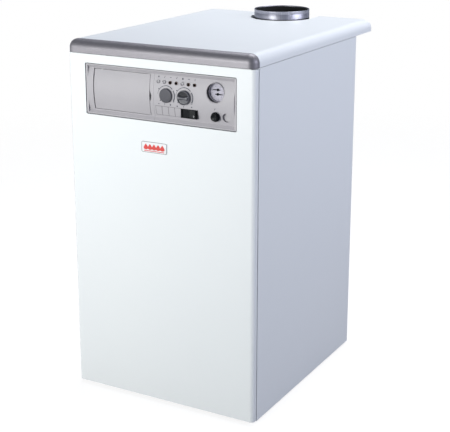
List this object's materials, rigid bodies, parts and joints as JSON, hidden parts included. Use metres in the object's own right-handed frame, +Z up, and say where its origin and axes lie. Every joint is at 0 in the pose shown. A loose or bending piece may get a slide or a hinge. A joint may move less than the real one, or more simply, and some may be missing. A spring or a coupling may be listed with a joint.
{
  "type": "floor-standing gas boiler",
  "caption": "Floor-standing atmospheric gas boiler: white sheet casing, grey lid trim, flap-door control fascia, cast-iron exchanger, burner assembly and rear flue collar.",
  "frame": {"origin": "bottom centre of the boiler's box, on the floor", "axes": "+X to the right of a person facing the front, front face towards -Y, +Z up"},
  "size_m": [0.5, 0.692, 0.902],
  "materials": {
    "white_enamel": "satin stoved enamel",
    "trim_grey": "satin metallic grey moulding",
    "fascia_grey": "fine-textured warm grey moulding",
    "knob_grey": "satin grey moulding",
    "black_plastic": "satin black moulding",
    "button_grey": "light grey moulding",
    "lamp_clear": "clear lens",
    "lamp_dark": "dark amber lens",
    "gauge_face": "printed dial",
    "gauge_glass": "clear",
    "badge": "printed plate",
    "galvanised": "galvanised sheet",
    "collar_metal": "bright rolled sheet",
    "steel": "plain steel",
    "cast_iron": "rough cast, blackened",
    "stainless": "heat-tinted stainless",
    "brass": "machined",
    "valve_alloy": "die cast",
    "gas_paint": "yellow painted steel",
    "wool": "mineral wool",
    "gasket": "ceramic fibre",
    "sight": "heat-proof glass",
    "board": "circuit board",
    "rubber": "moulded",
    "nickel": "nickel plated"
  },
  "bodies": {
    "cabinet": {"left_side_panel": "white_enamel", "right_side_panel": "white_enamel", "fascia_left": "fascia_grey", "fascia_right": "fascia_grey", "blanking_plates": "fascia_grey", "rocker_frame": "black_plastic", "gauge_housing": "black_plastic", "selector_switch": "black_plastic", "control_thermostat": "black_plastic", "safety_thermostat": "black_plastic", "ignition_controller": "black_plastic", "clear_lamps": "lamp_clear", "dark_lamps": "lamp_dark", "gauge_dial": "gauge_face", "gauge_glass": "gauge_glass", "base_tray": "galvanised", "rear_panel": "galvanised", "front_cross_rail": "galvanised", "control_tray": "galvanised", "support_rails": "galvanised", "smoke_hood": "galvanised", "cleaning_cover": "galvanised", "draught_diverter": "galvanised", "flue_collar": "collar_metal", "door_hinge_pin": "steel", "tie_rods": "steel", "water_stubs": "steel", "burner_plate": "steel", "gas_manifold": "steel", "front_section": "cast_iron", "second_section": "cast_iron", "third_section": "cast_iron", "rear_section": "cast_iron", "burner_tubes": "stainless", "pilot_burner": "stainless", "injectors": "brass", "section_nipples": "brass", "gas_valve": "valve_alloy", "gas_pipe": "gas_paint", "insulation_jacket": "wool", "burner_gasket": "gasket", "sight_glass": "sight", "terminal_board": "board", "levelling_feet": "rubber", "catch_sockets": "nickel"},
    "front_door": {"front_panel": "white_enamel", "badge_plate": "badge", "catch_studs": "nickel"},
    "lid": {"top_lid": "white_enamel", "lid_front_trim": "trim_grey"},
    "control_flap": {"control_door": "fascia_grey"},
    "selector": {"selector_knob": "knob_grey", "selector_spindle": "steel"},
    "thermostat": {"thermostat_knob": "knob_grey", "thermostat_spindle": "steel"},
    "rocker": {"power_rocker": "black_plastic"},
    "temperature_needle": {"temperature_pointer": "black_plastic"},
    "pressure_needle": {"pressure_pointer": "black_plastic"},
    "limit_cap": {"safety_cap": "black_plastic"},
    "button": {"test_button": "button_grey"}
  },
  "joints": [
    {"name": "front_panel_pull", "type": "slide", "parent": "cabinet", "child": "front_door", "axis": [0, -1, 0], "range_m": [0, 0.25]},
    {"name": "lid_lift", "type": "slide", "parent": "cabinet", "child": "lid", "axis": [0, 0, 1], "range_m": [0, 0.15]},
    {"name": "control_door_hinge", "type": "hinge", "parent": "cabinet", "child": "control_flap", "pos_m": [-0.158, -0.326, 0.767], "axis": [0, 0, -1], "range_deg": [0, 100]},
    {"name": "selector_turn", "type": "hinge", "parent": "cabinet", "child": "selector", "pos_m": [0.022, -0.336, 0.77], "axis": [0, 1, 0], "range_deg": [-135, 135]},
    {"name": "thermostat_turn", "type": "hinge", "parent": "cabinet", "child": "thermostat", "pos_m": [0.07, -0.336, 0.77], "axis": [0, 1, 0], "range_deg": [-135, 135]},
    {"name": "rocker_tilt", "type": "hinge", "parent": "cabinet", "child": "rocker", "pos_m": [0.0825, -0.3295, 0.7335], "axis": [0, 0, 1], "range_deg": [0, 17]},
    {"name": "temperature_sweep", "type": "hinge", "parent": "cabinet", "child": "temperature_needle", "pos_m": [0.1495, -0.321, 0.793], "axis": [0, 1, 0], "range_deg": [0, 120]},
    {"name": "pressure_sweep", "type": "hinge", "parent": "cabinet", "child": "pressure_needle", "pos_m": [0.1495, -0.321, 0.783], "axis": [0, 1, 0], "range_deg": [0, 120]},
    {"name": "cap_unscrew", "type": "slide", "parent": "cabinet", "child": "limit_cap", "axis": [0, -1, 0], "range_m": [0, 0.012]},
    {"name": "button_press", "type": "slide", "parent": "cabinet", "child": "button", "axis": [0, 1, 0], "range_m": [0, 0.003], "stiffness_N_per_m": 800, "springref_m": -0.001}
  ]
}
